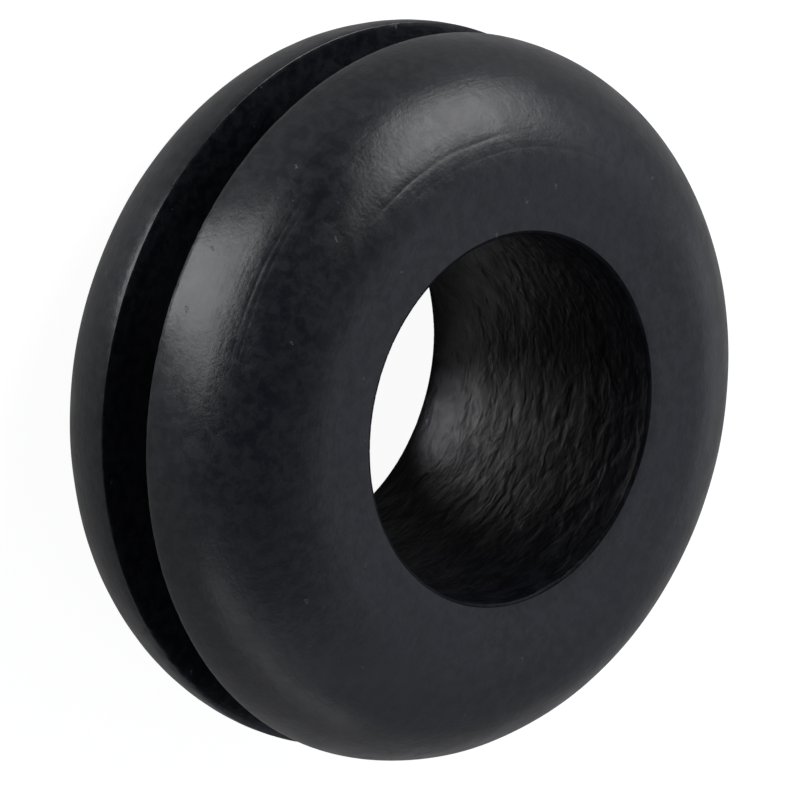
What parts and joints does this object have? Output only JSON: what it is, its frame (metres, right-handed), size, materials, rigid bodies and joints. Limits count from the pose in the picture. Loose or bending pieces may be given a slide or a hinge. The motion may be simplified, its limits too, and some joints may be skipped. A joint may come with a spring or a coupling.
{
  "type": "rubber grommet",
  "caption": "Round moulded rubber ring with a straight bore and a deep groove between rounded flanges, to line a panel hole.",
  "frame": {"origin": "centre of the bore on the back face, which the grommet lies on", "axes": "+Z along the bore's axis, from the back face to the front face; the part is round, so X and Y are free"},
  "size_m": [0.0159, 0.0158, 0.007],
  "materials": {
    "rubber": "satin black moulded rubber, with fine pale dust"
  },
  "bodies": {
    "root": {"grommet": "rubber"}
  },
  "joints": []
}
